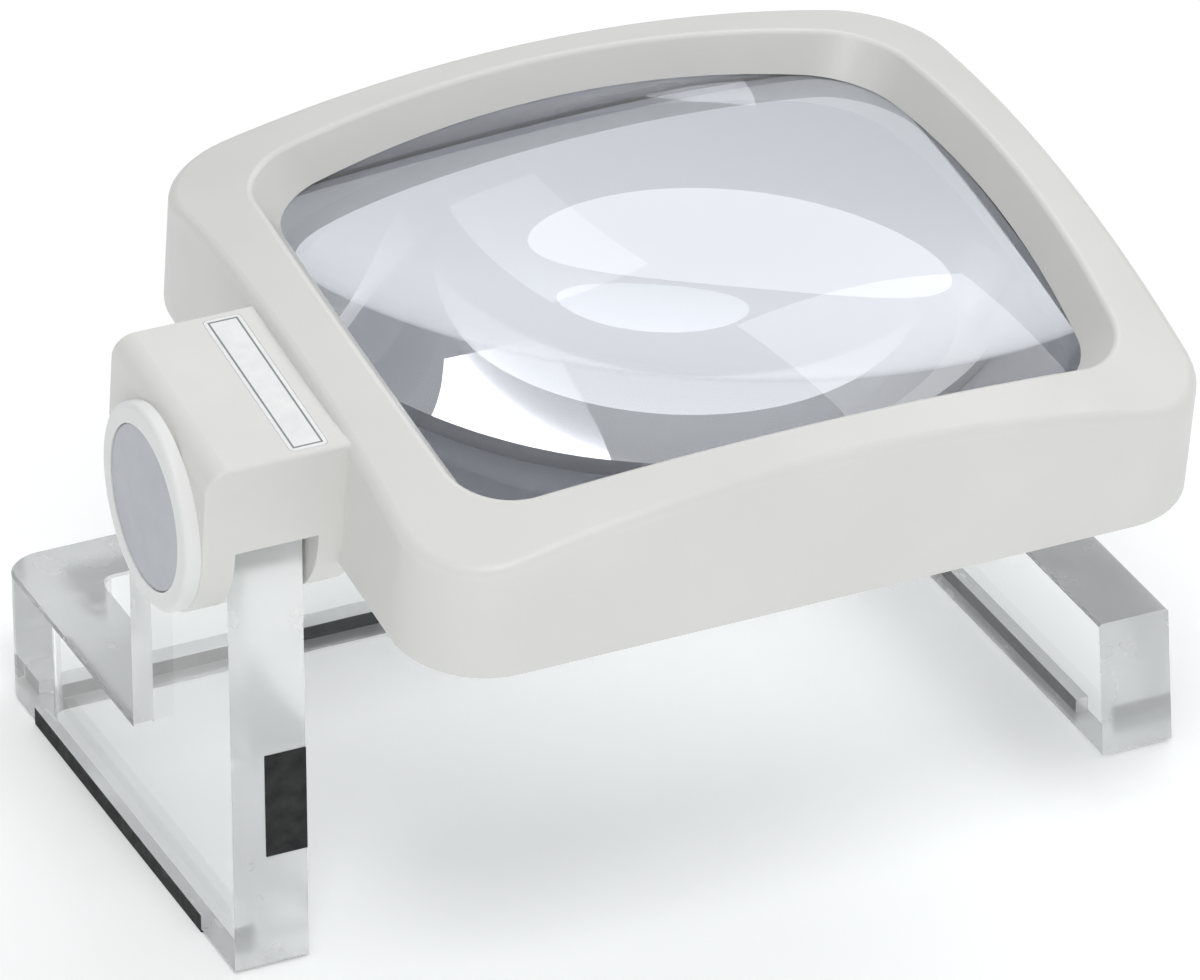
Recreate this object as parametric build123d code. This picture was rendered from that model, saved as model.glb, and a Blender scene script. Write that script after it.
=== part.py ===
from build123d import *
import math
import os

# A writing magnifier for low vision: a white lens head that tilts on one post of a clear
# acrylic U-shaped stand.  Millimetres, +X towards the free foot, +Y away from the reader, +Z up.
#
# The stand is drawn with its outer front corner, under the post, at the origin.
# The head is drawn level, with its origin at the middle of its underside, and is then tilted
# about the pivot.  At the end everything moves together so that the finished object stands
# with the middle of its box on the origin.

# ---- stand ---------------------------------------------------------------------------------
stand_width = 157.5          # outer face of one foot to outer face of the other
foot_length = 92.0           # front of the feet to the back of the rear bar
foot_height = 22.0
bar = 12.0                   # thickness of the clear acrylic: feet, rear bar and post
corner_radius = 6.0          # outer rear corners, in plan
inner_corner_radius = 2.5
foot_nose_lean = 2.5         # the free foot's front face leans back by this much
acrylic_edge = 0.4           # small bevel along the acrylic's edges
post_depth = 38.0
post_shoulder = 24.0         # how far below the pivot the post reaches its full depth
post_neck_drop = 9.0         # how far below the pivot its narrow neck ends
post_top_radius = 10.8
pivot_back = 11.3            # pivot behind the post's front face
pivot_height = 76.0          # pivot above the underside of the acrylic
strip_width = 6.2            # black rubber strips let into the outer bottom edges
strip_thickness = 3.0
strip_proud = 0.7            # they stand this far below the acrylic
strip_end_gap = 13.0         # bare acrylic beyond the end of a strip
groove_clearance = 0.05
pad_width = 6.6              # black pad let into the post's front face, on its inner side
pad_height = 17.4
pad_low = 18.8               # bottom of the pad above the acrylic's underside
pad_thickness = 1.2
pad_proud = 0.2

# ---- head ----------------------------------------------------------------------------------
head_width = 128.0
head_depth = 110.0
head_corner = 14.0
head_tilt = 8.6              # degrees at rest, front edge lower
crown_height = 33.4          # where the rim's sphere would pass over the middle
rim_sphere = 220.0           # the rim's top follows a sphere
rim_width = 7.0              # flat of the rim along the middle of the front
rim_edge_radius = 2.0
rim_inner_radius = 1.0
wall = 2.0
funnel_slope = 34.0          # degrees from vertical, from the rim down to the lens
funnel_wall = 1.5
opening_corner = 10.0        # plan radius of the funnel between the rim and the lens

# ---- lens ----------------------------------------------------------------------------------
lens_inset = 9.5             # lens's edge inside the head's outline
lens_corner = 14.0
lens_top_radius = 180.0
lens_bottom_radius = 170.0
lens_apex = 28.4             # top of the lens above the head's underside
lens_corner_edge = 1.6       # thickness left at the corners
lens_clearance = 0.15
cup_wall = 1.3

# ---- pivot block ---------------------------------------------------------------------------
pivot_y = -7.0               # pivot in the head's own frame
pivot_z = 5.6
cheek_radius = 16.2
cheek_outer = 5.2
cheek_inner = 3.9
block_rise = 16.9            # top of the block above the pivot
block_wall = 2.2
block_back = 19.5            # rear face of the block behind the pivot
block_edge_radius = 3.5
block_edge_break = 0.5
slot_lip = 1.3               # front and rear walls of the block end this far above the pivot
block_back_lip = 2.6         # and its rear face ends this far above it
side_gap = 0.6               # post to cheek, where the friction washers sit
bolt_radius = 2.5
bolt_head_radius = 4.7
bolt_head_height = 2.0
bolt_socket_radius = 1.7     # corner of the hexagon socket
bolt_socket_depth = 1.4
bolt_end_beyond = 0.8        # thread showing past the nut
bolt_head_sink = 0.3         # the bolt's head lies this far below the cheek's face
bolt_clearance = 0.05
bush_radius = 4.0
spring_washer_radius = 5.0
spring_washer_thickness = 0.5
washer_seat_gap = 0.3        # radial room round the spring washers
washer_slack = 0.02
friction_washer_radius = 10.0
washer_gap = 0.05
nut_width = 8.0              # across flats
nut_height = 4.0
nut_recess = 1.2
cap_radius = 15.8
cap_proud = 2.4
cap_recess = 0.8
cap_edge_radius = 0.9
cap_spigot = 0.3             # the cap's boss reaches this far into the bolt's seat
cap_spigot_gap = 0.1         # with this radial clearance
disc_radius = 12.6
disc_thickness = 0.6
disc_edge_radius = 0.2
fit_gap = 0.1

# ---- skirt ring that closes the head from below ---------------------------------------------
flange = 1.6
ring_wall = 1.6
ring_step = 1.0              # the upstand's outside lies this far inside the lens's edge
screw_radius = 0.9
screw_clearance = 0.3        # radial room for the screws in the ring
cross_length, cross_width, cross_depth = 2.6, 0.6, 0.5   # cross recess in the screws
screw_head_radius = 2.0
screw_head_height = 1.1
screw_length = 8.0
boss_radius = 2.4
boss_inset = 5.2             # middle of a boss inside the head's outline
back_boss_spread = 44.0

# ---- lamp -----------------------------------------------------------------------------------
lamp_length = 40.0
lamp_height = 5.5
lamp_low = 2.4               # underside of the lamp window above the head's underside
window_setback = 0.4         # window behind the upstand's outer face
window_recess = 0.2          # and behind its inner face
board_gap = 0.15             # board to the upstand's outer face
board_overlap = 0.5          # board beyond the window, above and below
board_thickness = 1.0
board_margin = 1.5
led_size = 2.8
led_height = 0.5
led_count = 4

# ---- battery drawer and its cells -------------------------------------------------------------
cell_radius = 10.0
cell_thickness = 3.2
cell_gap = 1.2
tray_wall = 1.0
tray_thickness = 4.6
tray_x = 0.0                 # middle of the drawer along the front wall
tray_gap = 0.25
tray_wall_gap = 0.5          # drawer to the head's front wall
tray_floor = 0.5             # drawer's floor under the cells, above the flange
tray_cover = 0.9             # drawer above the cells
cell_lip = 2.0               # what holds a cell in, all round
cell_side_gap = 0.1
notch_radius = 5.0           # finger notch in the drawer's end
notch_depth = 1.2
contact_thickness = 0.3
contact_gap = 0.1
contact_height = 5.0

# ---- switch ---------------------------------------------------------------------------------
switch_y = -14.0
switch_z = 11.0
switch_length = 13.0
switch_height = 6.0
switch_body_depth = 4.2
switch_setback = 0.8         # switch body behind the wall's inner face
switch_travel = 3.0
slider_length = 5.0
slider_height = 3.0
slider_proud = 0.8
slider_gap = 0.3             # room round the slider in its slot
slider_setback = 0.5         # back of the slider's head behind the wall's inner face
rib_pitch, rib_width, rib_depth = 1.5, 0.7, 0.4          # thumb ribs
stem_length, stem_height, stem_depth = 2.0, 1.8, 1.8     # from the slider into the switch
stem_gap = 0.2

# ---- small pieces -----------------------------------------------------------------------------
label_length = 33.0
label_width = 6.0
label_thickness = 0.4
label_corner = 0.8
label_offset = 2.5           # label's edge to the head's end

# ---- worked out from the above ----------------------------------------------------------------
half_w, half_d = head_width / 2, head_depth / 2
lens_width, lens_depth = head_width - 2 * lens_inset, head_depth - 2 * lens_inset
funnel_run = math.tan(math.radians(funnel_slope))
post_inner = -(half_w + cheek_inner + side_gap)          # post's face nearest the head
post_outer = post_inner - bar
block_outer = post_outer - side_gap - cheek_outer
seat_floor = block_outer + 2 * spring_washer_thickness + bolt_head_height + bolt_head_sink
under_head = seat_floor - 2 * spring_washer_thickness
nut_face = -(half_w - wall)                              # inner face of the head's end wall
ring_width, ring_depth = lens_width - 2 * ring_step, lens_depth - 2 * ring_step
ring_corner = lens_corner - ring_step
lamp_x = -ring_width / 2                                 # upstand's outer face by the lamp
tray_y = -(half_d - wall - tray_wall_gap - tray_thickness / 2)   # middle of its thickness
tray_half = 2 * cell_radius + cell_gap / 2 + tray_wall
cell_z = flange + tray_floor + cell_radius
tray_top = flange + 2 * cell_radius + tray_cover
pivot = Pos(0, pivot_y, pivot_z)


def corner_reach(width, depth, radius):
    """Distance from the middle of a rounded rectangle to the middle of its corner."""
    inset = radius * (1 - math.sqrt(0.5))
    return math.hypot(width / 2 - inset, depth / 2 - inset)


def drop(radius, reach):
    """How far a ball of this radius falls away at this distance from its axis."""
    return radius - math.sqrt(radius ** 2 - reach ** 2)


lens_reach = corner_reach(lens_width, lens_depth, lens_corner)
lens_corner_top = lens_apex - drop(lens_top_radius, lens_reach)
lens_floor = lens_corner_top - lens_corner_edge - drop(lens_bottom_radius, lens_reach)
rim_front = crown_height - drop(rim_sphere, half_d - rim_width)


def slab(width, depth, radius, low, high):
    """A rounded rectangle between two heights."""
    return Pos(0, 0, low) * extrude(RectangleRounded(width, depth, radius), amount=high - low)


def block(x0, x1, y0, y1, z0, z1):
    """A plain block between two corners."""
    size = Box(x1 - x0, y1 - y0, z1 - z0)
    return Pos((x0 + x1) / 2, (y0 + y1) / 2, (z0 + z1) / 2) * size


def peg(x, y, z, radius, height):
    """An upright cylinder standing at this height."""
    return Pos(x, y, z + height / 2) * Cylinder(radius, height)


def grouped(solids):
    return Compound(children=[Part(s.wrapped) for s in solids])


def ball_below(radius, top):
    """A large ball whose highest point is at this height."""
    return Pos(0, 0, top - radius) * Rot(90, 0, 0) * Sphere(radius)


def ball_above(radius, bottom):
    """A large ball whose lowest point is at this height."""
    return Pos(0, 0, bottom + radius) * Rot(90, 0, 0) * Sphere(radius)


def rod_x(radius, x0, x1):
    """A cylinder along X between two places, on the pivot axis."""
    return pivot * Pos((x0 + x1) / 2, 0, 0) * Rot(0, 90, 0) * Cylinder(radius, x1 - x0)


def tube_x(outer, inner, x0, x1):
    return rod_x(outer, x0, x1) - rod_x(inner, x0 - 1, x1 + 1)


# ---- stand -------------------------------------------------------------------------------------
def post_profile():
    """Side view of the post: Y from its front face, Z up, rounded about the pivot."""
    front, back = pivot_back - post_top_radius, pivot_back + post_top_radius
    neck, shoulder = pivot_height - post_neck_drop, pivot_height - post_shoulder
    crown = ThreePointArc((front, pivot_height), (pivot_back, pivot_height + post_top_radius),
                          (back, pivot_height))
    flare = Spline((back, neck), (post_depth, shoulder), tangents=[(0, -1), (0, -1)])
    foot = foot_height / 2
    front_edge = Polyline((post_depth, foot), (0, foot), (0, pivot_height), (front, pivot_height))
    sides = Line((back, pivot_height), (back, neck)) + Line((post_depth, shoulder), (post_depth, foot))
    return make_face(crown + flare + front_edge + sides)


def base_plan():
    """Plan of the two feet and the rear bar."""
    plan = Pos(stand_width / 2, foot_length / 2) * Rectangle(stand_width, foot_length)
    rear = plan.vertices().group_by(Axis.Y)[-1]
    plan = fillet(rear, corner_radius)
    depth = foot_length - bar
    inside = Pos(stand_width / 2, depth / 2) * Rectangle(stand_width - 2 * bar, depth)
    inside = fillet(inside.vertices().group_by(Axis.Y)[-1], inner_corner_radius)
    return plan - inside


def nose_cut():
    """What the free foot's leaning front face takes away."""
    wedge = Plane.YZ * make_face(Polyline(
        (0, 0), (foot_nose_lean, foot_height), (0, foot_height), (0, 0)))
    return Pos(stand_width - bar, 0, 0) * extrude(wedge, amount=bar)


def stand():
    base = extrude(base_plan(), amount=foot_height)
    base = chamfer(base.faces().sort_by(Axis.Z)[-1].edges(), acrylic_edge)
    body = base - nose_cut() + extrude(Plane.YZ * post_profile(), amount=bar)
    body -= Pos(bar / 2, pivot_back, pivot_height) * Rot(0, 90, 0) * Cylinder(
        bush_radius + fit_gap / 2, bar)
    for groove in strip_shapes(groove_clearance, strip_thickness - strip_proud):
        body -= groove
    return body - front_pad(groove_clearance)


def strip_shapes(grow, depth):
    """The three rubber strips, or with a little growth the rebates that hold them."""
    middle = strip_width / 2
    foot_run = foot_length - 2 * strip_end_gap
    rear_run = stand_width - 2 * strip_end_gap
    shapes = []
    for x in (middle, stand_width - middle):
        shapes.append(Pos(x, foot_length / 2, (depth + grow) / 2) * Box(
            strip_width + 2 * grow, foot_run + 2 * grow, depth + grow))
    shapes.append(Pos(stand_width / 2, foot_length - middle, (depth + grow) / 2) * Box(
        rear_run + 2 * grow, strip_width + 2 * grow, depth + grow))
    return shapes


def strips():
    shapes = [Pos(0, 0, -strip_proud) * shape for shape in strip_shapes(0, strip_thickness)]
    return dict(zip(("left_grip_strip", "right_grip_strip", "rear_grip_strip"), shapes))


def front_pad(grow=0.0):
    """The black pad on the inner half of the post's front face, or the pocket that holds it."""
    depth = pad_thickness - pad_proud
    return block(bar - pad_width - grow, bar + grow, -pad_proud, depth + grow,
                 pad_low - grow, pad_low + pad_height + grow)


def pivot_bush():
    """A brass sleeve bonded into the post; the bolt turns in it."""
    centre = Pos(bar / 2, pivot_back, pivot_height) * Rot(0, 90, 0)
    return centre * (Cylinder(bush_radius, bar) - Cylinder(bolt_radius + bolt_clearance, bar + 2))


# ---- head shell ----------------------------------------------------------------------------------
def funnel(grow, low, high):
    """The sloping wall between the rim and the lens, as a solid that widens upwards."""
    sections = []
    for z in (low, high):
        spread = rim_width - (z - rim_front) * funnel_run - grow
        sections.append(Pos(0, 0, z) * RectangleRounded(
            head_width - 2 * spread, head_depth - 2 * spread, opening_corner + grow))
    return loft(sections)


def clevis():
    """The block on the head's end wall, hollow above the pivot and open below it."""
    overlap = half_w - wall
    width = -overlap - block_outer
    middle = (-overlap + block_outer) / 2
    side = Plane.YZ * make_face(
        Polyline((-cheek_radius, 0), (-cheek_radius, block_rise), (block_back, block_rise),
                 (block_back, block_back_lip), (cheek_radius, 0))
        + ThreePointArc((cheek_radius, 0), (0, -cheek_radius), (-cheek_radius, 0)))
    body = pivot * Pos(middle - width / 2, 0, 0) * extrude(side, amount=width)
    top_edges = body.edges().group_by(Axis.Z)[-1]
    body = fillet(top_edges.filter_by(Axis.Y).sort_by(Axis.X)[0], block_edge_radius)
    outer_face = body.faces().filter_by(Axis.X).sort_by(Axis.X)[0]
    body = fillet(outer_face.edges(), block_edge_break)
    slot_x0, slot_x1 = post_outer - side_gap, post_inner + side_gap
    reach = block_back + 1
    body -= block(slot_x0, slot_x1, pivot_y - reach, pivot_y + reach,
                  pivot_z - reach, pivot_z + slot_lip)
    body -= block(slot_x0, slot_x1, pivot_y - cheek_radius + block_wall,
                  pivot_y + block_back - block_wall, pivot_z, pivot_z + block_rise - block_wall)
    return body


def boss_places():
    """Screw bosses: one in each corner and two along the back."""
    inward = head_corner - (head_corner - boss_inset) * math.sqrt(0.5)
    x, y = half_w - inward, half_d - inward
    corners = [(sx * x, sy * y) for sx in (-1, 1) for sy in (-1, 1)]
    back = [(sx * back_boss_spread / 2, half_d - boss_inset) for sx in (-1, 1)]
    return corners + back


def head_shell():
    outside = slab(head_width, head_depth, head_corner, 0, crown_height + 1)
    outside &= ball_below(rim_sphere, crown_height)
    rim = outside.faces().filter_by(GeomType.SPHERE)[0]
    outside = fillet(rim.edges(), rim_edge_radius)
    outside -= funnel(0, lens_corner_top - 2, crown_height + 2)
    rim = outside.faces().filter_by(GeomType.SPHERE)[0]
    outside = fillet(rim.inner_wires()[0].edges(), rim_inner_radius)

    hollow = slab(head_width - 2 * wall, head_depth - 2 * wall, head_corner - wall,
                  -1, crown_height + 1)
    hollow &= ball_below(rim_sphere - wall, crown_height - wall)
    cup = slab(lens_width + 2 * (lens_clearance + cup_wall), lens_depth + 2 * (lens_clearance + cup_wall),
               lens_corner + lens_clearance + cup_wall, flange + fit_gap, crown_height)
    hollow -= cup & ball_below(rim_sphere, crown_height)
    hollow -= funnel(funnel_wall, lens_corner_top - 2, crown_height + 2)
    for x, y in boss_places():
        hollow -= peg(x, y, flange, boss_radius, crown_height)
    shell = outside - hollow
    shell += clevis()

    pocket = slab(lens_width + 2 * lens_clearance, lens_depth + 2 * lens_clearance,
                  lens_corner + lens_clearance, -1, crown_height)
    shell -= pocket & ball_below(lens_top_radius, lens_apex + lens_clearance)
    for x, y in boss_places():
        shell -= peg(x, y, flange - 1, screw_radius, screw_length + 1)
    shell -= bolt_cuts()
    shell -= switch_slot()
    shell -= label_shape(fit_gap)
    return shell


def bolt_cuts():
    """Bolt hole through both cheeks, the deep seat for its head, and the nut's seat."""
    cut = rod_x(bolt_radius + bolt_clearance, block_outer - 1, nut_face + 1)
    cut += rod_x(spring_washer_radius + washer_seat_gap, block_outer - 1, seat_floor)
    cut += nut_prism(nut_face - nut_recess, nut_face + 1, fit_gap)
    return cut


def nut_prism(x0, x1, grow):
    across = RegularPolygon((nut_width / 2 + grow) / math.cos(math.pi / 6), 6)
    return pivot * Pos(x0, 0, 0) * extrude(Plane.YZ * across, amount=x1 - x0)


# ---- lens and its ring ----------------------------------------------------------------------------
def lens():
    blank = slab(lens_width, lens_depth, lens_corner, 0, crown_height)
    blank &= ball_below(lens_top_radius, lens_apex)
    blank &= ball_above(lens_bottom_radius, lens_floor)
    return blank


def skirt_ring():
    """Closes the head from below and carries the lens on its upstanding wall."""
    plate = slab(head_width - 2 * (wall + fit_gap), head_depth - 2 * (wall + fit_gap),
                 head_corner - wall - fit_gap, 0, flange)
    upstand = slab(ring_width, ring_depth, ring_corner, 0, crown_height)
    upstand -= ball_above(lens_bottom_radius + lens_clearance, lens_floor - lens_clearance)
    ring = plate + upstand
    ring -= slab(ring_width - 2 * ring_wall, ring_depth - 2 * ring_wall, ring_corner - ring_wall,
                 -1, crown_height + 1)
    for x, y in boss_places():
        ring -= peg(x, y, -1, screw_radius + screw_clearance, flange + 2)
        ring -= peg(x, y, -1, screw_head_radius + fit_gap, 1 + screw_head_height)
    ring -= tray_slot()
    ring -= lamp_opening()
    return ring


def ring_screws():
    screws = []
    for x, y in boss_places():
        screw = peg(x, y, 0, screw_head_radius, screw_head_height) + peg(x, y, 0, screw_radius, screw_length)
        screw -= Pos(x, y, 0) * Box(cross_length, cross_width, 2 * cross_depth)
        screws.append(screw - Pos(x, y, 0) * Box(cross_width, cross_length, 2 * cross_depth))
    return grouped(screws)


# ---- pivot ---------------------------------------------------------------------------------------
def pivot_bolt():
    end = nut_face + nut_height - nut_recess + bolt_end_beyond
    head = rod_x(bolt_head_radius, under_head - bolt_head_height, under_head)
    socket = pivot * Pos(under_head - bolt_head_height, 0, 0) * extrude(
        Plane.YZ * RegularPolygon(bolt_socket_radius, 6), amount=bolt_socket_depth)
    return head + rod_x(bolt_radius, under_head, end) - socket


def pivot_nut():
    x0 = nut_face - nut_recess
    return nut_prism(x0, x0 + nut_height, 0) - rod_x(bolt_radius, x0 - 1, x0 + nut_height + 1)


def spring_washers():
    """Two dished washers under the bolt's head, which keep the joint stiff."""
    starts = [under_head + i * spring_washer_thickness for i in range(2)]
    return grouped([tube_x(spring_washer_radius, bolt_radius + bolt_clearance, x0 + washer_slack,
                           x0 + spring_washer_thickness) for x0 in starts])


def friction_washer(outer):
    if outer:
        x0 = post_outer - side_gap
        return tube_x(friction_washer_radius, bolt_radius + bolt_clearance, x0,
                      x0 + side_gap - washer_gap)
    x1 = post_inner + side_gap
    return tube_x(friction_washer_radius, bolt_radius + bolt_clearance,
                  x1 - side_gap + washer_gap, x1)


def pivot_cap():
    """White cover over the bolt's head, with a round recess for the coloured disc."""
    cover = rod_x(cap_radius, block_outer - cap_proud, block_outer)
    rim_edge = cover.edges().filter_by(GeomType.CIRCLE).sort_by(Axis.X)[0]
    cover = fillet(rim_edge, cap_edge_radius)
    seat_radius = spring_washer_radius + washer_seat_gap
    cover += rod_x(seat_radius - cap_spigot_gap, block_outer, block_outer + cap_spigot)
    return cover - rod_x(disc_radius + fit_gap, block_outer - cap_proud - 1,
                         block_outer - cap_proud + cap_recess)


def cap_disc():
    x1 = block_outer - cap_proud + cap_recess
    disc = rod_x(disc_radius, x1 - disc_thickness, x1)
    return fillet(disc.edges().filter_by(GeomType.CIRCLE).sort_by(Axis.X)[0], disc_edge_radius)


# ---- label ---------------------------------------------------------------------------------------
def label_shape(grow):
    """The blank label let into the block's top, along the head's end."""
    top = pivot_z + block_rise
    x = -(half_w + label_width / 2 + label_offset)
    y = pivot_y + (block_back - cheek_radius) / 2
    return Pos(x, y, top - label_thickness - grow / 2) * extrude(
        RectangleRounded(label_width + grow, label_length + grow, label_corner),
        amount=label_thickness + grow)


def label_plate():
    return label_shape(0)


# ---- lamp ----------------------------------------------------------------------------------------
def lamp_opening():
    """The hole in the ring's upstand that the window closes."""
    return block(lamp_x - fit_gap, lamp_x + ring_wall + fit_gap,
                 -lamp_length / 2 - fit_gap, lamp_length / 2 + fit_gap,
                 lamp_low - fit_gap, lamp_low + lamp_height + fit_gap)


def lamp_window():
    return block(lamp_x + window_setback, lamp_x + ring_wall - window_recess,
                 -lamp_length / 2, lamp_length / 2, lamp_low, lamp_low + lamp_height)


def lamp_board():
    x1 = lamp_x - board_gap
    reach = lamp_length / 2 + board_margin
    return block(x1 - board_thickness, x1, -reach, reach,
                 lamp_low - board_overlap, lamp_low + lamp_height + board_overlap)


def lamp_leds():
    """A row of square chips on the board, behind the window."""
    middle = Pos(lamp_x - board_gap + led_height / 2, 0, lamp_low + lamp_height / 2)
    pitch = lamp_length / led_count
    places = [(i - (led_count - 1) / 2) * pitch for i in range(led_count)]
    return grouped([middle * Pos(0, y, 0) * Box(led_height, led_size, led_size) for y in places])


# ---- battery drawer --------------------------------------------------------------------------------
def cell_places():
    return [tray_x + side * (cell_radius + cell_gap / 2) for side in (-1, 1)]


def cell_disc(radius, thickness, x):
    return Pos(x, tray_y, cell_z) * Rot(90, 0, 0) * Cylinder(radius, thickness)


def tray_slot():
    reach = tray_half + tray_gap
    return block(tray_x - reach, tray_x + reach, tray_y - tray_thickness / 2 - tray_gap,
                 tray_y + tray_thickness / 2 + tray_gap, -1, flange + 1)


def battery_tray():
    y0, y1 = tray_y - tray_thickness / 2, tray_y + tray_thickness / 2
    body = block(tray_x - tray_half, tray_x + tray_half, y0, y1, 0, tray_top)
    for x in cell_places():
        body -= cell_disc(cell_radius + fit_gap, cell_thickness + 2 * cell_side_gap, x)
        body -= cell_disc(cell_radius - cell_lip, tray_thickness + 2, x)
    return body - Pos(tray_x, y0, 0) * Rot(90, 0, 0) * Cylinder(notch_radius, 2 * notch_depth)


def battery_cells():
    return grouped([cell_disc(cell_radius, cell_thickness, x) for x in cell_places()])


def contact(front):
    """A metal strip along the front or the back of both cells."""
    face = tray_thickness / 2 + contact_gap
    reach = 2 * (cell_radius - cell_lip / 2)
    y0 = tray_y - face - contact_thickness if front else tray_y + face
    return block(tray_x - reach, tray_x + reach, y0, y0 + contact_thickness,
                 cell_z - contact_height / 2, cell_z + contact_height / 2)


# ---- switch ----------------------------------------------------------------------------------------
def switch_slot():
    reach = (slider_length + switch_travel) / 2 + slider_gap
    middle = switch_y + switch_travel / 2
    rise = slider_height / 2 + slider_gap
    return block(half_w - wall - 1, half_w + 1, middle - reach, middle + reach,
                 switch_z - rise, switch_z + rise)


def switch_body():
    x1 = half_w - wall - switch_setback
    middle = switch_y + switch_travel / 2
    body = block(x1 - switch_body_depth, x1, middle - switch_length / 2, middle + switch_length / 2,
                 switch_z - switch_height / 2, switch_z + switch_height / 2)
    reach = (switch_travel + stem_length) / 2 + slider_gap
    rise = stem_height / 2 + stem_gap
    return body - block(x1 - stem_depth, x1 + 1, middle - reach, middle + reach,
                        switch_z - rise, switch_z + rise)


def switch_slider():
    x0, x1 = half_w - wall - slider_setback, half_w + slider_proud
    thumb = block(x0, x1, switch_y - slider_length / 2, switch_y + slider_length / 2,
                  switch_z - slider_height / 2, switch_z + slider_height / 2)
    for i in (-1, 0, 1):
        groove = Box(2 * rib_depth, rib_width, 2 * slider_height)
        thumb -= Pos(x1, switch_y + i * rib_pitch, switch_z) * groove
    stem = Pos(x0 - stem_depth / 2, switch_y, switch_z) * Box(stem_depth, stem_length, stem_height)
    return thumb + stem


# ---- assembly --------------------------------------------------------------------------------------
def head_nodes():
    return {
        "head_shell": head_shell(),
        "lens": lens(),
        "skirt_ring": skirt_ring(),
        "ring_screws": ring_screws(),
        "pivot_bolt": pivot_bolt(),
        "pivot_nut": pivot_nut(),
        "spring_washers": spring_washers(),
        "outer_friction_washer": friction_washer(True),
        "inner_friction_washer": friction_washer(False),
        "pivot_cap": pivot_cap(),
        "cap_disc": cap_disc(),
        "label_plate": label_plate(),
        "lamp_window": lamp_window(),
        "lamp_board": lamp_board(),
        "lamp_leds": lamp_leds(),
        "battery_tray": battery_tray(),
        "battery_cells": battery_cells(),
        "front_contact": contact(True),
        "rear_contact": contact(False),
        "switch_body": switch_body(),
        "switch_slider": switch_slider(),
    }


def all_nodes():
    on_stand = Pos(0, pivot_back, pivot_height) * Rot(head_tilt, 0, 0) * Pos(
        -post_outer, -pivot_y, -pivot_z)
    nodes = {"stand": stand(), "pivot_bush": pivot_bush(), "front_pad": front_pad()}
    nodes.update(strips())
    for name, shape in head_nodes().items():
        nodes[name] = on_stand * shape
    return nodes


def main():
    os.makedirs("parts", exist_ok=True)
    nodes = all_nodes()
    box = Compound(children=[Part(n.wrapped) for n in nodes.values()]).bounding_box()
    middle = box.center()
    shift = Pos(-middle.X, -middle.Y, -box.min.Z)
    for name, shape in nodes.items():
        export_step(shift * shape, os.path.join("parts", name + ".step"))
    print("size", [round(v, 2) for v in (box.size.X, box.size.Y, box.size.Z)])
    axis = shift * Pos(0, pivot_back, pivot_height)
    print("pivot", [round(v, 3) for v in axis.position])


main()
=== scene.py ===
import math

import bpy
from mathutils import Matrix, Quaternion, Vector


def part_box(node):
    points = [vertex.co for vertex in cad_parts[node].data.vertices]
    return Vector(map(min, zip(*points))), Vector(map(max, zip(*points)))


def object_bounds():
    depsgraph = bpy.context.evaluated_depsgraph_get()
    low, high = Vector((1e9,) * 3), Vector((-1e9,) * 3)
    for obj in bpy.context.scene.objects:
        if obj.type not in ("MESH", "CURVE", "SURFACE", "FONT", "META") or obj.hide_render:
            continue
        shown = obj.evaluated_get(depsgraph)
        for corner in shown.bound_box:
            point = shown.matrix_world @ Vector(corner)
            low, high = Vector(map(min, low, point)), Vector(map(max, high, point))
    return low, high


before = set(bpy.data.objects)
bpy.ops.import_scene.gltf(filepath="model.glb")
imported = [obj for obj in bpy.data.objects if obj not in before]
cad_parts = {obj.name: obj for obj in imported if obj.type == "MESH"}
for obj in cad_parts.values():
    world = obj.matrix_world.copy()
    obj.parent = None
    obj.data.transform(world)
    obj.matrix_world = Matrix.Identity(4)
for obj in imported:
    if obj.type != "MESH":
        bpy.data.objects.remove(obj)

MM = 0.001
HEAD_TILT = math.radians(8.6)        # the head at rest, front edge low
cad_low, cad_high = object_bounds()
middle = (cad_low + cad_high) / 2

# ---- camera --------------------------------------------------------------------------------
AZIMUTH = 24.95                      # degrees, camera to the left of straight ahead
ELEVATION = 30.18                    # degrees above the floor
DISTANCE = 1.51488
FOCAL_LENGTH = 300.0                 # millimetres
SENSOR_WIDTH = 36.0                  # millimetres
FAR_CLIP = 20.0                      # metres
AIM = middle + Vector((-1.0, 3.0, -3.5)) * MM

# ---- light ---------------------------------------------------------------------------------
KEY_POWER = 3.6                      # watts
FILL_POWER = 1.4
BACK_POWER = 1.5
SKY_STRENGTH = 0.57
NEAR_GLOW = 0.24                     # the floor's own glow under the object
FAR_GLOW = 0.45                      # and out where the studio sweep is fully lit
NEAR_RADIUS, FAR_RADIUS = 0.16, 0.6
FLOOR_SIZE = 40                      # metres
FLOOR_DROP = 0.02 * MM               # keeps the sheet just clear of the rubber strips
CLEAR_BOUNCES = 24                   # light paths deep enough for thick clear acrylic

# ---- clear plastic -------------------------------------------------------------------------
ACRYLIC_IOR = 1.491
ACRYLIC_TINT = (0.975, 0.985, 0.98)
FACE_HAZE, CUT_EDGE_HAZE = 0.008, 0.22   # roughness of polished faces and of cut edges
CUT_EDGE_CLARITY = 0.62                  # the rest of a cut edge is a milky bloom
PLATE_MARGIN = 0.1 * MM                  # slack, so that the plate's inner faces are counted
# painted shade: the lens is clear; this grey-blue colour darkens all seen through it, in place of the shaded
# floor behind the head
LENS_PAINTED_SHADE = (0.73, 0.745, 0.795)
LENS_EDGE_CLARITY = 0.25                 # the lens's upright edge is mostly matt
LENS_HAZE, LENS_EDGE_HAZE = 0.004, 0.4

# ---- label ---------------------------------------------------------------------------------
BORDER_INSET = 0.75 * MM             # middle of the printed border inside the label's edge
BORDER_HALF_WIDTH = 0.16 * MM
BORDER_GREY = (0.16, 0.165, 0.17)


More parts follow.
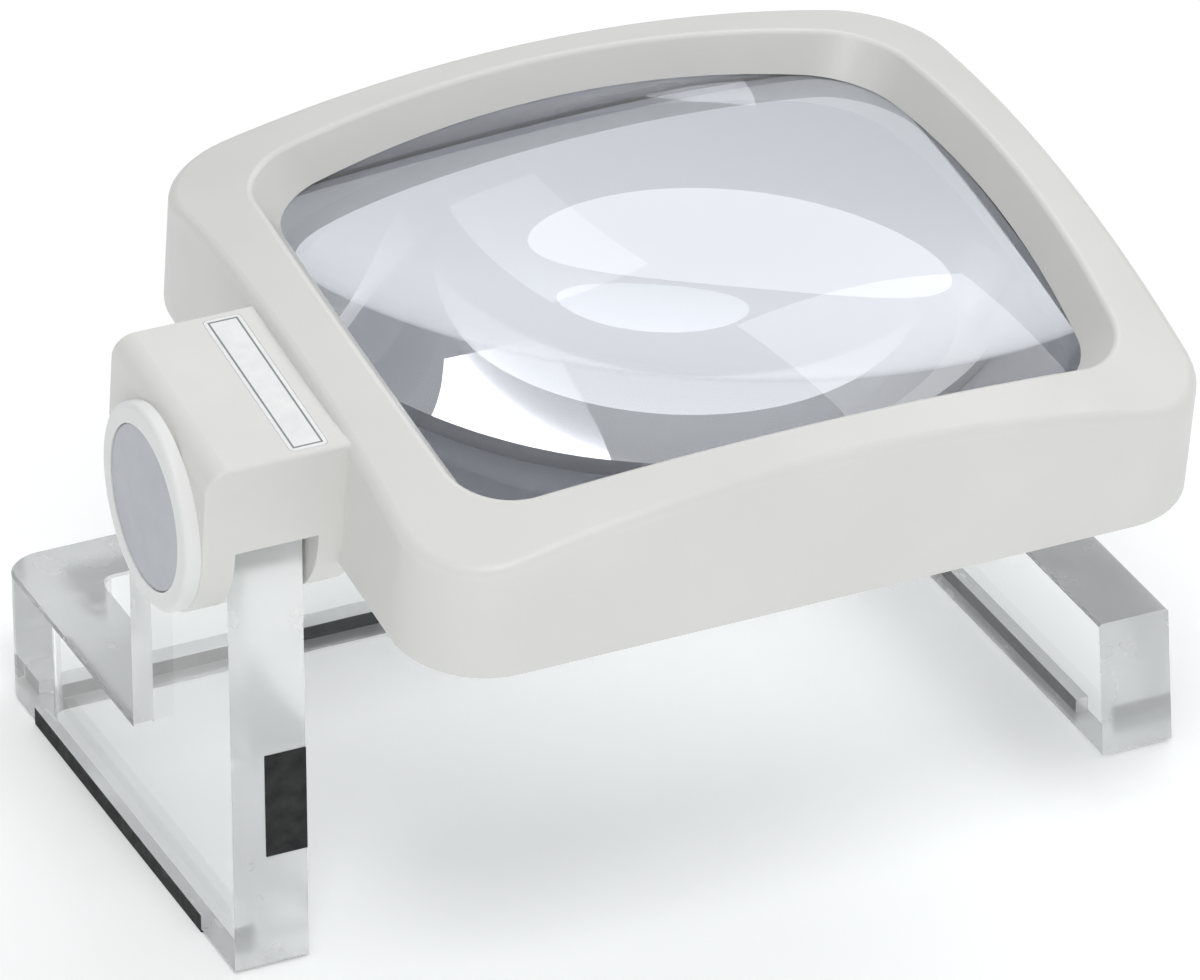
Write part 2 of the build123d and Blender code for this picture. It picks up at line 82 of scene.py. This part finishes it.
# ---- node helpers ----------------------------------------------------------------------------
class Look:
    """A new node material with its shader, object coordinates and a few building blocks.

    Coordinates and facing are the object's own, so they ride with it when it moves."""

    def __init__(self, name):
        self.material = bpy.data.materials.new(name)
        self.material.use_nodes = True
        self.tree = self.material.node_tree
        self.tree.nodes.clear()
        self.output = self.node("ShaderNodeOutputMaterial")
        self.shader = self.node("ShaderNodeBsdfPrincipled")
        self.link(self.shader.outputs["BSDF"], self.output.inputs["Surface"])
        places = self.node("ShaderNodeTexCoord").outputs
        self.coords, self.facing = places["Object"], places["Normal"]

    def node(self, kind, **settings):
        made = self.tree.nodes.new(kind)
        for key, value in settings.items():
            setattr(made, key, value)
        return made

    def link(self, a, b):
        self.tree.links.new(a, b)

    def parts(self, vector):
        """The X, Y and Z of a vector, as a set of sockets by name."""
        made = self.node("ShaderNodeSeparateXYZ")
        self.link(vector, made.inputs["Vector"])
        return made.outputs

    def set(self, **values):
        """Shader sockets by name, with _ for a space."""
        for key, value in values.items():
            self.shader.inputs[key.replace("_", " ")].default_value = value

    def math(self, operation, *values):
        """One arithmetic step on sockets or plain numbers."""
        made = self.node("ShaderNodeMath", operation=operation)
        for socket, value in zip(made.inputs, values):
            if isinstance(value, (int, float)):
                socket.default_value = value
            else:
                self.link(value, socket)
        return made.outputs["Value"]

    def stretched(self, scale):
        """Object coordinates stretched along the axes."""
        mapping = self.node("ShaderNodeMapping")
        mapping.inputs["Scale"].default_value = scale
        self.link(self.coords, mapping.inputs["Vector"])
        return mapping.outputs["Vector"]

    def noise(self, scale, detail=2.0, roughness=0.5, coords=None):
        made = self.node("ShaderNodeTexNoise")
        made.inputs["Scale"].default_value = scale
        made.inputs["Detail"].default_value = detail
        made.inputs["Roughness"].default_value = roughness
        self.link(coords or self.coords, made.inputs["Vector"])
        return made.outputs["Fac"]

    def spread(self, value, low, high, start=0.3, stop=0.7):
        """Maps a pattern's middle range to low..high."""
        made = self.node("ShaderNodeMapRange")
        made.inputs["From Min"].default_value = start
        made.inputs["From Max"].default_value = stop
        made.inputs["To Min"].default_value = low
        made.inputs["To Max"].default_value = high
        self.link(value, made.inputs["Value"])
        return made.outputs["Result"]

    def blend(self, value, first, second):
        """Colour between two by a pattern; each is a colour or another pattern's socket."""
        made = self.node("ShaderNodeMix", data_type="RGBA")
        self.link(value, made.inputs["Factor"])
        sockets = [s for s in made.inputs if s.type == "RGBA"]
        for socket, wanted in zip(sockets, (first, second)):
            if isinstance(wanted, (tuple, list)):
                socket.default_value = (*wanted, 1)
            else:
                self.link(wanted, socket)
        return [s for s in made.outputs if s.type == "RGBA"][0]

    def colour(self, socket):
        self.link(socket, self.shader.inputs["Base Color"])

    def roughness(self, socket):
        self.link(socket, self.shader.inputs["Roughness"])

    def bump(self, height, distance, strength=1.0):
        made = self.node("ShaderNodeBump")
        made.inputs["Strength"].default_value = strength
        made.inputs["Distance"].default_value = distance
        self.link(height, made.inputs["Height"])
        self.link(made.outputs["Normal"], self.shader.inputs["Normal"])


# ---- materials -------------------------------------------------------------------------------
def moulded(name, light, dark, grain=0.03 * MM):
    """Satin moulded plastic: a fine spark-eroded grain and faint mottling."""
    look = Look(name)
    look.set(IOR=1.5, Specular_IOR_Level=0.5)
    look.colour(look.blend(look.spread(look.noise(45, 3), 0, 1), light, dark))
    look.roughness(look.spread(look.noise(160, 4), 0.36, 0.48))
    look.bump(look.noise(3200, 2, 0.6), grain, 0.5)
    return look.material


def tint_and_painted_shade(look, scale, tint_and_shade, darker):
    """A clear plastic's colour, very faintly uneven: a real faint tint on the stand, painted shade on the
    lens.
    """
    deep = [darker * c for c in tint_and_shade]
    look.colour(look.blend(look.spread(look.noise(scale, 1), 0, 1), tint_and_shade, deep))


def plate_faces(look):
    """1 on the sheet's own faces and on the underside, 0 on the other cut edges.

    The sheet's faces look along X on the feet and the post, and along Y on the rear bar."""
    facing, place = look.parts(look.facing), look.parts(look.coords)
    low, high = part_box("stand")
    bush_low, bush_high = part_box("pivot_bush")      # the bush is as long as the plate is thick
    depth = bush_high.x - bush_low.x + PLATE_MARGIN
    on_left = look.math("LESS_THAN", place["X"], low.x + depth)
    on_right = look.math("GREATER_THAN", place["X"], high.x - depth)
    on_rear = look.math("GREATER_THAN", place["Y"], high.y - depth)
    foot = look.math("MAXIMUM", on_left, on_right)
    side = look.math("MULTIPLY", look.math("ABSOLUTE", facing["X"]), foot)
    rear = look.math("MULTIPLY", look.math("ABSOLUTE", facing["Y"]), on_rear)
    under = look.math("LESS_THAN", facing["Z"], -0.5)
    return look.math("MAXIMUM", look.math("MAXIMUM", side, rear), under)


def clear_acrylic():
    """Clear acrylic plate: polished faces, and cut edges that are only flame-smoothed."""
    look = Look("clear_acrylic")
    look.set(IOR=ACRYLIC_IOR)
    tint_and_painted_shade(look, 12, ACRYLIC_TINT, 0.985)
    face = plate_faces(look)
    haze = look.spread(face, CUT_EDGE_HAZE, FACE_HAZE, 0.4, 0.9)
    look.roughness(look.math("MULTIPLY", haze, look.spread(look.noise(90, 3), 0.6, 1.4)))
    clarity = look.spread(face, CUT_EDGE_CLARITY, 1.0, 0.4, 0.9)
    look.link(clarity, look.shader.inputs["Transmission Weight"])
    look.bump(look.noise(28, 1), 0.02 * MM, 0.3)
    return look.material


def lens_clear():
    """Polished faces; the lens's upright edge, held in the head, is left matt."""
    look = Look("lens_clear")
    look.set(IOR=ACRYLIC_IOR)
    # the lens's colour is painted shade: a grey-blue darkening in place of the shaded floor seen through it
    tint_and_painted_shade(look, 8, LENS_PAINTED_SHADE, 0.99)
    upright = look.node("ShaderNodeVectorMath", operation="DOT_PRODUCT")
    look.link(look.facing, upright.inputs[0])
    upright.inputs[1].default_value = (0, -math.sin(HEAD_TILT), math.cos(HEAD_TILT))
    polished = look.math("ABSOLUTE", upright.outputs["Value"])
    clarity = look.spread(polished, LENS_EDGE_CLARITY, 1.0, 0.4, 0.6)
    look.link(clarity, look.shader.inputs["Transmission Weight"])
    haze = look.spread(polished, LENS_EDGE_HAZE, LENS_HAZE, 0.4, 0.6)
    look.roughness(look.math("MULTIPLY", haze, look.spread(look.noise(60, 3), 0.5, 1.5)))
    return look.material


def rubber():
    look = Look("black_rubber")
    look.set(Specular_IOR_Level=0.35)
    look.colour(look.blend(look.spread(look.noise(300, 3), 0, 1), (0.012, 0.012, 0.013), (0.03, 0.03, 0.03)))
    look.roughness(look.spread(look.noise(500, 2), 0.62, 0.85))
    look.bump(look.noise(1800, 3), 0.06 * MM, 0.7)
    return look.material


def metal(name, light, dark, rough=(0.22, 0.38), along=(40, 1800, 1800)):
    look = Look(name)
    look.set(Metallic=1.0)
    brushed = look.noise(1.0, 3, 0.6, look.stretched(along))
    look.colour(look.blend(look.spread(brushed, 0, 1), light, dark))
    look.roughness(look.spread(brushed, *rough))
    look.bump(brushed, 0.004 * MM, 0.6)
    return look.material


def disc_finish():
    """Blue-grey satin inlay with a faint cloudy print."""
    look = Look("disc_grey")
    look.set(IOR=1.5)
    look.colour(look.blend(look.spread(look.noise(120, 3), 0, 1), (0.50, 0.51, 0.55), (0.46, 0.47, 0.51)))
    look.roughness(look.spread(look.noise(260, 3), 0.3, 0.42))
    look.bump(look.noise(2600, 2), 0.015 * MM, 0.5)
    return look.material


def frosted():
    look = Look("lamp_diffuser")
    look.set(Transmission_Weight=0.8, IOR=1.49)
    look.colour(look.blend(look.noise(70, 2), (0.95, 0.95, 0.92), (0.9, 0.9, 0.88)))
    look.roughness(look.spread(look.noise(700, 3), 0.32, 0.5))
    look.bump(look.noise(2500, 2), 0.03 * MM, 0.6)
    return look.material


def circuit_board():
    """Green lacquer over faint copper tracks."""
    look = Look("board_green")
    tracks = look.node("ShaderNodeTexBrick")
    tracks.inputs["Scale"].default_value = 260
    look.link(look.coords, tracks.inputs["Vector"])
    look.colour(look.blend(tracks.outputs["Fac"], (0.02, 0.13, 0.05), (0.05, 0.24, 0.08)))
    look.roughness(look.spread(look.noise(300, 2), 0.25, 0.4))
    look.bump(tracks.outputs["Fac"], 0.03 * MM, 0.6)
    return look.material


def led_chip():
    look = Look("led_amber")
    look.set(IOR=1.5)
    look.colour(look.blend(look.spread(look.noise(600, 2), 0, 1), (0.85, 0.62, 0.12), (0.92, 0.85, 0.5)))
    look.roughness(look.spread(look.noise(400, 2), 0.25, 0.4))
    return look.material


def label_print():
    """A blank label: pale ground with a thin grey border, under a satin film."""
    look = Look("label_white")
    look.set(IOR=1.5, Coat_Weight=0.4, Coat_Roughness=0.15)
    low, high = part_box("label_plate")
    place = look.parts(look.coords)
    edges = [look.math("SUBTRACT", place["X"], low.x), look.math("SUBTRACT", high.x, place["X"]),
             look.math("SUBTRACT", place["Y"], low.y), look.math("SUBTRACT", high.y, place["Y"])]
    inside = look.math("MINIMUM", look.math("MINIMUM", *edges[:2]), look.math("MINIMUM", *edges[2:]))
    border = look.math("COMPARE", inside, BORDER_INSET, BORDER_HALF_WIDTH)
    ground = look.blend(look.spread(look.noise(420, 4), 0, 1), (0.82, 0.83, 0.82), (0.74, 0.75, 0.745))
    look.colour(look.blend(border, ground, BORDER_GREY))
    look.roughness(look.spread(look.noise(300, 2), 0.35, 0.5))
    look.bump(look.noise(1500, 2), 0.01 * MM, 0.4)
    return look.material


def paint_nodes():
    white = moulded("white_shell", (0.76, 0.753, 0.73), (0.73, 0.723, 0.70))
    # painted light: the cover's white is set lighter than the shell's, partly its own whiter plastic and
    # partly to brighten the skirt ring's inner wall, where little light reaches through the lens
    cover_white_and_painted_light = moulded("white_cover", (0.84, 0.84, 0.83), (0.81, 0.81, 0.80), 0.018 * MM)
    steel = metal("steel", (0.66, 0.66, 0.67), (0.5, 0.5, 0.51))
    brass = metal("brass", (0.80, 0.62, 0.30), (0.66, 0.48, 0.2))
    cell = metal("cell_steel", (0.72, 0.72, 0.71), (0.6, 0.6, 0.6), (0.18, 0.3), (60, 60, 1500))
    nylon = moulded("nylon", (0.84, 0.82, 0.76), (0.78, 0.76, 0.7))
    switch = moulded("switch_grey", (0.11, 0.115, 0.13), (0.08, 0.085, 0.1))
    black = rubber()
    finishes = {
        white: ["head_shell"],
        cover_white_and_painted_light: ["skirt_ring", "pivot_cap", "battery_tray"],
        clear_acrylic(): ["stand"],
        lens_clear(): ["lens"],
        black: ["left_grip_strip", "right_grip_strip", "rear_grip_strip", "front_pad"],
        disc_finish(): ["cap_disc"],
        steel: ["ring_screws", "pivot_bolt", "pivot_nut", "spring_washers"],
        brass: ["pivot_bush", "front_contact", "rear_contact"],
        cell: ["battery_cells"],
        nylon: ["outer_friction_washer", "inner_friction_washer"],
        label_print(): ["label_plate"],
        frosted(): ["lamp_window"],
        circuit_board(): ["lamp_board"],
        led_chip(): ["lamp_leds"],
        switch: ["switch_body", "switch_slider"],
    }
    for material, nodes in finishes.items():
        for name in nodes:
            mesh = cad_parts[name].data
            mesh.materials.clear()
            mesh.materials.append(material)


# ---- studio ------------------------------------------------------------------------------------
def floor():
    """A large pale sheet; a little glow keeps it as even as a lit studio table."""
    bpy.ops.mesh.primitive_plane_add(size=FLOOR_SIZE, location=(0, 0, -FLOOR_DROP))
    sheet = bpy.context.object
    sheet.name = "floor"
    look = Look("floor_paper")
    look.set(Emission_Color=(0.985, 1.0, 0.99, 1), Specular_IOR_Level=0.0, Roughness=0.9)
    look.colour(look.blend(look.noise(3, 2), (0.9, 0.91, 0.905), (0.88, 0.89, 0.885)))
    reach = look.node("ShaderNodeVectorMath", operation="LENGTH")
    look.link(look.coords, reach.inputs[0])
    glow = look.spread(reach.outputs["Value"], NEAR_GLOW, FAR_GLOW, NEAR_RADIUS, FAR_RADIUS)
    look.link(glow, look.shader.inputs["Emission Strength"])
    sheet.data.materials.append(look.material)


def sky():
    """Soft room light: brightest at the horizon, dim just above it, bright again overhead."""
    world = bpy.data.worlds.new("studio")
    bpy.context.scene.world = world
    world.use_nodes = True
    tree = world.node_tree
    tree.nodes.clear()
    output = tree.nodes.new("ShaderNodeOutputWorld")
    background = tree.nodes.new("ShaderNodeBackground")
    coords = tree.nodes.new("ShaderNodeTexCoord")
    split = tree.nodes.new("ShaderNodeSeparateXYZ")
    ramp = tree.nodes.new("ShaderNodeValToRGB")
    horizon, overhead = ramp.color_ramp.elements
    horizon.color = (1.35, 1.36, 1.36, 1)
    overhead.color = (1, 1, 1, 1)
    ramp.color_ramp.elements.new(0.07).color = (0.42, 0.44, 0.48, 1)
    ramp.color_ramp.elements.new(0.35).color = (0.66, 0.68, 0.71, 1)
    tree.links.new(coords.outputs["Generated"], split.inputs["Vector"])
    tree.links.new(split.outputs["Z"], ramp.inputs["Fac"])
    tree.links.new(ramp.outputs["Color"], background.inputs["Color"])
    background.inputs["Strength"].default_value = SKY_STRENGTH
    tree.links.new(background.outputs["Background"], output.inputs["Surface"])


def softbox(name, direction, distance, size, power, colour=(1, 1, 1), shape="RECTANGLE", roll=0.0):
    """An area light aimed at the middle of the object, turned by roll degrees on its own axis."""
    data = bpy.data.lights.new(name, "AREA")
    data.shape = shape
    data.size, data.size_y = size
    data.energy = power
    data.color = colour
    lamp = bpy.data.objects.new(name, data)
    bpy.context.scene.collection.objects.link(lamp)
    lamp.location = middle + Vector(direction).normalized() * distance
    aimed = (middle - lamp.location).to_track_quat("-Z", "Y")
    lamp.rotation_euler = (aimed @ Quaternion((0, 0, 1), math.radians(roll))).to_euler()


def lights():
    softbox("key", direction=(-0.20, -0.50, 0.84), distance=1.0, size=(0.35, 0.35), power=KEY_POWER)
    softbox("fill", direction=(0.62, 0.18, 0.77), distance=1.0, size=(0.55, 0.42), power=FILL_POWER,
            colour=(0.99, 0.995, 1.0))
    softbox("back", direction=(0.43, 0.56, 0.70), distance=1.2, size=(0.62, 0.34), power=BACK_POWER,
            colour=(0.96, 0.97, 1.0), shape="ELLIPSE", roll=20)


def camera():
    az, el = math.radians(AZIMUTH), math.radians(ELEVATION)
    back = Vector((-math.sin(az) * math.cos(el), -math.cos(az) * math.cos(el), math.sin(el)))
    data = bpy.data.cameras.new("camera")
    data.sensor_width = SENSOR_WIDTH
    data.lens = FOCAL_LENGTH
    data.clip_end = FAR_CLIP
    eye = bpy.data.objects.new("camera", data)
    bpy.context.scene.collection.objects.link(eye)
    eye.location = AIM + back * DISTANCE
    eye.rotation_euler = (-back).to_track_quat("-Z", "Y").to_euler()
    bpy.context.scene.camera = eye


camera()
sky()
lights()
floor()
paint_nodes()
bpy.context.scene.view_settings.view_transform = "Standard"
cycles = bpy.context.scene.cycles
cycles.max_bounces = cycles.transmission_bounces = cycles.glossy_bounces = CLEAR_BOUNCES
